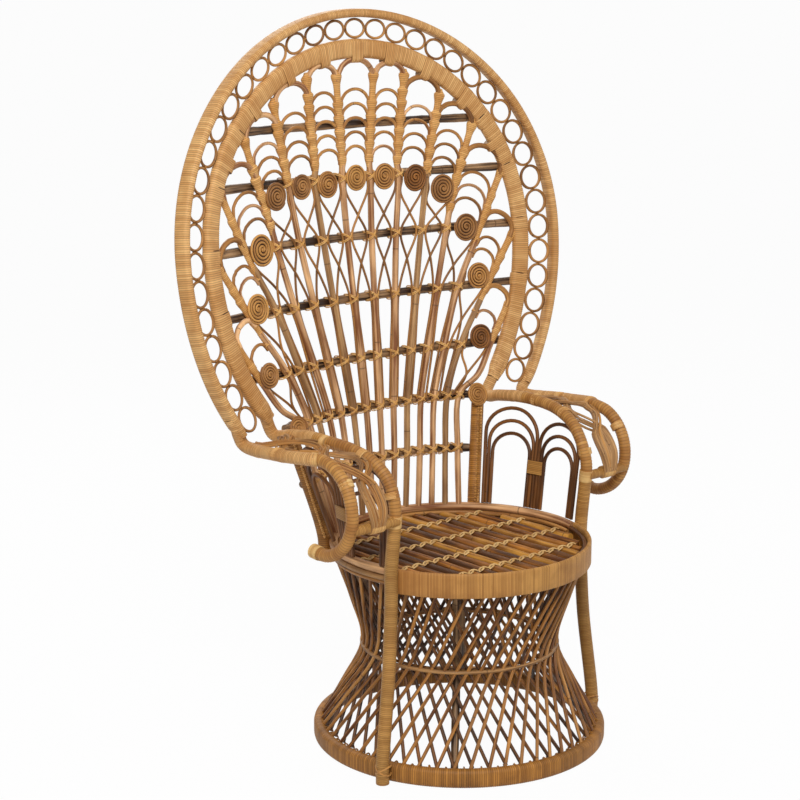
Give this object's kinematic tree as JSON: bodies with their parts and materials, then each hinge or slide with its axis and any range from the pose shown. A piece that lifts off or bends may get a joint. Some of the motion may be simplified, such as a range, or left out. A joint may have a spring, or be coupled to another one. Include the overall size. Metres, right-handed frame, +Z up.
{
  "type": "peacock chair",
  "caption": "Woven cane lounge chair: tall oval fan back with a rim of small rings and coiled rosettes, scrolled arms, round slatted seat and an hourglass base of crossed canes.",
  "frame": {"origin": "on the floor, at the middle of the chair's width and of its depth", "axes": "+Z up; +X to the chair's right side as seen in the front view, -X to its left side; -Y is the way the chair faces"},
  "size_m": [1.0154, 0.6438, 1.458],
  "materials": {
    "wrapped_cane": "golden split cane, closely wrapped, satin",
    "plain_cane": "tan peeled cane, satin",
    "dark_cane": "darker brown cane, satin",
    "bark_pole": "brown poles with their bark, matt"
  },
  "bodies": {
    "root": {"base_ring": "wrapped_cane", "lattice_outer": "dark_cane", "lattice_inner": "dark_cane", "waist_hoop": "plain_cane", "inner_leg_1": "bark_pole", "inner_leg_2": "bark_pole", "inner_leg_3": "bark_pole", "inner_leg_4": "bark_pole", "seat_rim": "dark_cane", "seat_apron": "wrapped_cane", "seat_deck": "dark_cane", "outer_rim": "wrapped_cane", "inner_rim": "wrapped_cane", "ring_chain": "plain_cane", "rosette_middle": "plain_cane", "crossbar_1": "bark_pole", "crossbar_2": "bark_pole", "crossbar_3": "bark_pole", "crossbar_4": "bark_pole", "crossbar_5": "bark_pole", "crossbar_6": "bark_pole", "crossbar_7": "bark_pole", "column_right_1": "wrapped_cane", "column_right_2": "wrapped_cane", "column_right_3": "wrapped_cane", "column_right_4": "wrapped_cane", "column_right_5": "wrapped_cane", "column_right_6": "wrapped_cane", "column_right_7": "wrapped_cane", "rosette_right_1": "plain_cane", "rosette_right_2": "plain_cane", "rosette_right_3": "plain_cane", "rosette_right_4": "plain_cane", "rosette_right_5": "plain_cane", "rosette_right_6": "plain_cane", "rosette_right_post": "plain_cane", "rear_post_right": "wrapped_cane", "front_leg_right": "wrapped_cane", "arm_rail_right": "wrapped_cane", "arm_weave_right": "plain_cane", "side_panel_right": "dark_cane", "column_left_1": "wrapped_cane", "column_left_2": "wrapped_cane", "column_left_3": "wrapped_cane", "column_left_4": "wrapped_cane", "column_left_5": "wrapped_cane", "column_left_6": "wrapped_cane", "column_left_7": "wrapped_cane", "rosette_left_1": "plain_cane", "rosette_left_2": "plain_cane", "rosette_left_3": "plain_cane", "rosette_left_4": "plain_cane", "rosette_left_5": "plain_cane", "rosette_left_6": "plain_cane", "rosette_left_post": "plain_cane", "rear_post_left": "wrapped_cane", "front_leg_left": "wrapped_cane", "arm_rail_left": "wrapped_cane", "arm_weave_left": "plain_cane", "side_panel_left": "dark_cane"}
  },
  "joints": []
}
